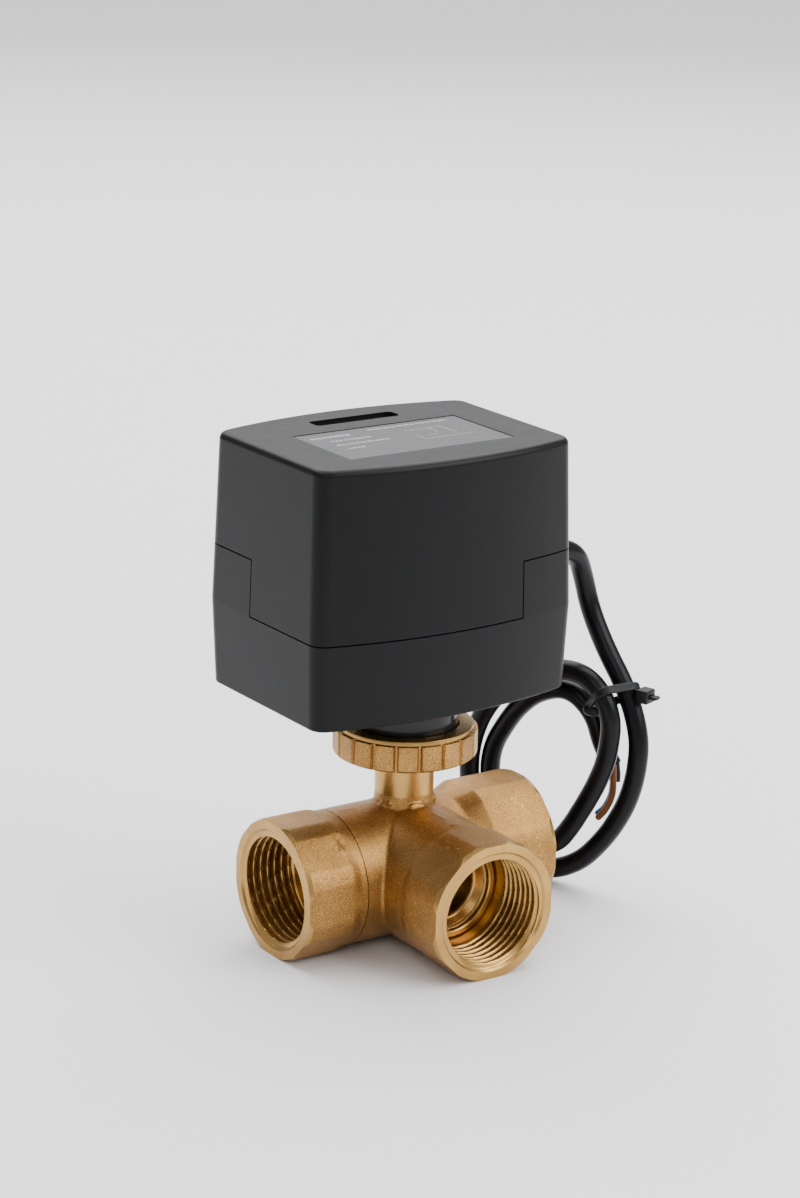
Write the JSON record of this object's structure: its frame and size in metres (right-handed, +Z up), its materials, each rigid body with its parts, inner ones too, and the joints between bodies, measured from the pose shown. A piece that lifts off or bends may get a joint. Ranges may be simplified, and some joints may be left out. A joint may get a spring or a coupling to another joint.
{
  "type": "motorised zone valve",
  "caption": "Motorised three-way zone valve: brass T body with a turning L-bore ball, notched coupling nut and a black two-shell electric actuator with a tied cable.",
  "frame": {"origin": "centre of the branch port's mouth, on the plane of its face", "axes": "+Z up along the valve stem, -Y out of the branch port, +X along the run towards the port beside the cable"},
  "size_m": [0.1252, 0.0798, 0.1456],
  "materials": {
    "brass_forged": "forged and sand-blasted, with turned faces",
    "brass_turned": "turned, satin",
    "ball_chrome": "plated and polished",
    "seat_white": "PTFE",
    "stem_steel": "turned stainless steel",
    "seal_rubber": "EPDM",
    "case_black": "fine spark-eroded texture, satin black",
    "case_gloss": "glossy black moulding",
    "label_grey": "printed dark foil label",
    "window_smoke": "smoked, glossy",
    "screw_steel": "zinc-plated steel",
    "plate_steel": "zinc-plated sheet steel",
    "gear_white": "natural acetal",
    "pinion_brass": "cut brass",
    "motor_can": "zinc-plated can",
    "switch_black": "moulded",
    "insulator": "insulating sheet and spacers",
    "board_green": "lacquered glass-fibre board",
    "terminal_green": "moulded",
    "capacitor_yellow": "moulded film capacitor case",
    "relay_blue": "moulded relay case",
    "core_insulation": "brown, blue and black core insulation",
    "cable_rubber": "moulded bushing",
    "cable_black": "black PVC sheath",
    "tie_black": "black nylon"
  },
  "bodies": {
    "housing": {"valve_body": "brass_forged", "run_port_connector": "brass_forged", "branch_seat_retainer": "brass_turned", "seat_left": "seat_white", "seat_right": "seat_white", "seat_branch": "seat_white", "stem_thrust_washer": "seat_white", "neck_retaining_ring": "stem_steel", "base_shell": "case_black", "mounting_spigot": "case_gloss", "cover_shell": "case_black", "label_plate": "label_grey", "window_lens": "window_smoke", "case_screws": "screw_steel", "lower_gear_plate": "plate_steel", "upper_gear_plate": "plate_steel", "gear_pillars": "brass_turned", "plate_screws": "screw_steel", "shaft_bush": "brass_turned", "idler_axle": "stem_steel", "gear_motor": "motor_can", "motor_screws": "screw_steel", "microswitch_lower": "switch_black", "microswitch_upper": "switch_black", "switch_spacers": "insulator", "switch_screws": "screw_steel", "board_posts": "brass_turned", "circuit_board": "board_green", "terminal_block": "terminal_green", "board_capacitor": "capacitor_yellow", "board_relay": "relay_blue", "lead_wires": "core_insulation", "cable_gland": "cable_rubber", "cable_lead": "cable_black", "cable_coil": "cable_black", "cable_tie": "tie_black", "cable_cores": "core_insulation"},
    "drive": {"ball": "ball_chrome", "stem": "stem_steel", "stem_o_rings": "seal_rubber", "output_shaft": "stem_steel", "output_gear": "gear_white", "cam_lower": "gear_white", "cam_upper": "gear_white", "position_disc": "gear_white"},
    "idler": {"idler_gear": "gear_white"},
    "motor_drive": {"motor_pinion": "pinion_brass", "motor_shaft": "stem_steel"},
    "nut_carrier": {"nut_slip_washer": "stem_steel"},
    "nut": {"coupling_nut": "brass_turned"},
    "lever_lower": {"switch_lever_lower": "stem_steel"},
    "lever_upper": {"switch_lever_upper": "stem_steel"}
  },
  "joints": [
    {"name": "valve_turn", "type": "hinge", "parent": "housing", "child": "drive", "pos_m": [0, 0.0452, 0], "axis": [0, 0, 1], "range_deg": [0, 90]},
    {"name": "idler_turn", "type": "hinge", "parent": "housing", "child": "idler", "pos_m": [-0.0189, 0.03041, 0.065], "axis": [0, 0, 1], "range_deg": [-270, 0]},
    {"name": "motor_turn", "type": "hinge", "parent": "housing", "child": "motor_drive", "pos_m": [-0.025, 0.0452, 0.065], "axis": [0, 0, 1], "range_deg": [0, 630]},
    {"name": "nut_travel", "type": "slide", "parent": "housing", "child": "nut_carrier", "axis": [0, 0, 1], "range_m": [-0.006, 0]},
    {"name": "nut_spin", "type": "hinge", "parent": "nut_carrier", "child": "nut", "pos_m": [0, 0.0452, 0.038], "axis": [0, 0, 1], "range_deg": [-1440, 0]},
    {"name": "lever_lower_press", "type": "hinge", "parent": "housing", "child": "lever_lower", "pos_m": [0.01403, 0.037, 0.079], "axis": [0, 0, -1], "range_deg": [0, 4.2], "stiffness_Nm_per_rad": 0.004},
    {"name": "lever_upper_press", "type": "hinge", "parent": "housing", "child": "lever_upper", "pos_m": [0.01403, 0.037, 0.087], "axis": [0, 0, -1], "range_deg": [0, 4.2], "stiffness_Nm_per_rad": 0.004}
  ],
  "couplings": [
    {"joint": "idler_turn", "follows": "valve_turn", "ratio": -3},
    {"joint": "motor_turn", "follows": "valve_turn", "ratio": 7},
    {"joint": "nut_travel", "follows": "nut_spin", "m_per_rad": 0.00023873}
  ]
}
